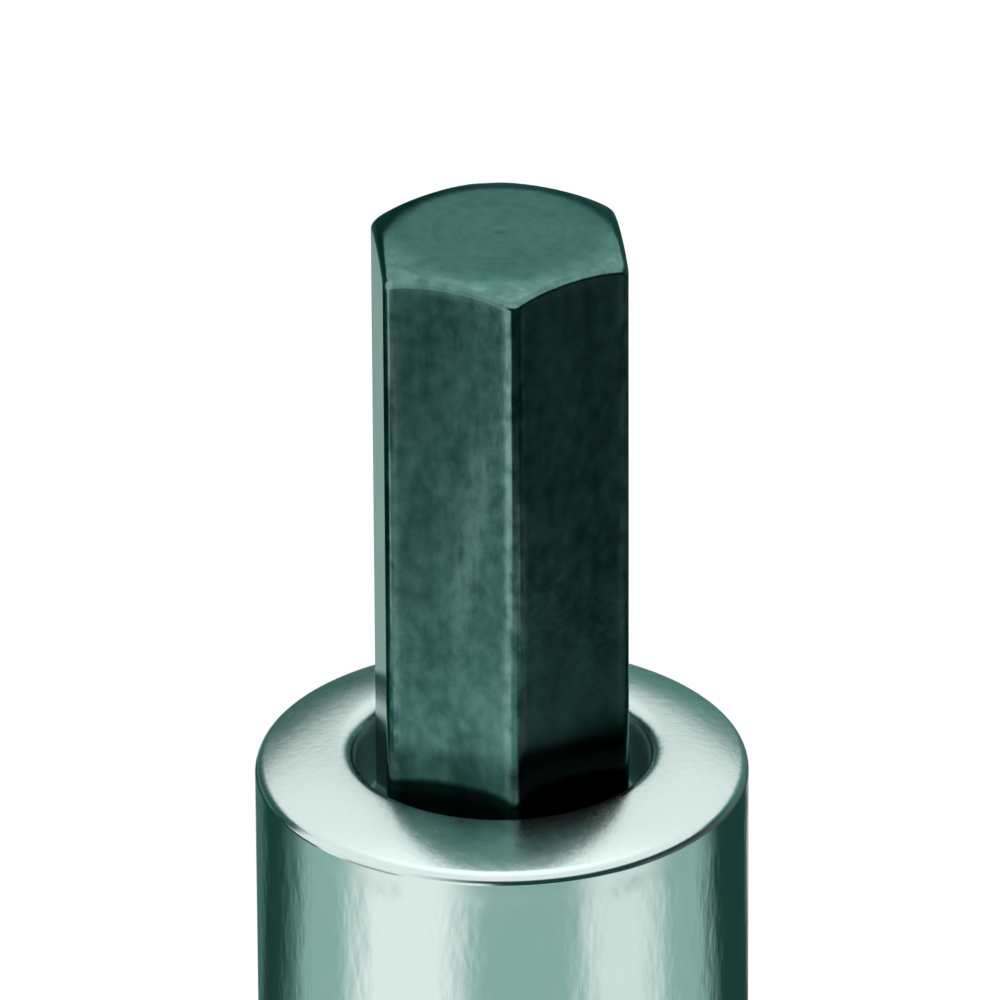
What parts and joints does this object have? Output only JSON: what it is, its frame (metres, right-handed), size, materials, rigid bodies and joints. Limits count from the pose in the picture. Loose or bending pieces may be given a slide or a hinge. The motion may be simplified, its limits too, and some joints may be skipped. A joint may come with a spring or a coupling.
{
  "type": "hex bit socket",
  "caption": "Chrome-plated round drive socket with a square drive hole at one end and a dark steel hex bit standing in its mouth, for turning recessed hex screws.",
  "frame": {"origin": "centre of the drive end face, on the tool's axis", "axes": "+Z along the tool's axis from the square drive hole to the tip of the bit, +X through a corner of the hex, +Y through the flat that the grub screw faces"},
  "size_m": [0.0244, 0.0244, 0.06],
  "materials": {
    "chrome_plate": "bright satin plating with a faint cool green cast",
    "dark_steel": "dark burnished steel, faintly mottled, with turning rings on the tip",
    "black_steel": "blackened steel"
  },
  "bodies": {
    "socket_body": {"socket_body": "chrome_plate"},
    "hex_bit": {"hex_bit": "dark_steel"},
    "set_screw": {"set_screw": "black_steel"}
  },
  "joints": [
    {"name": "bit_draw", "type": "slide", "parent": "socket_body", "child": "hex_bit", "axis": [0, 0, 1], "range_m": [0, 0.0145]},
    {"name": "screw_back_out", "type": "slide", "parent": "socket_body", "child": "set_screw", "axis": [0, 1, 0], "range_m": [0, 0.0065]}
  ]
}
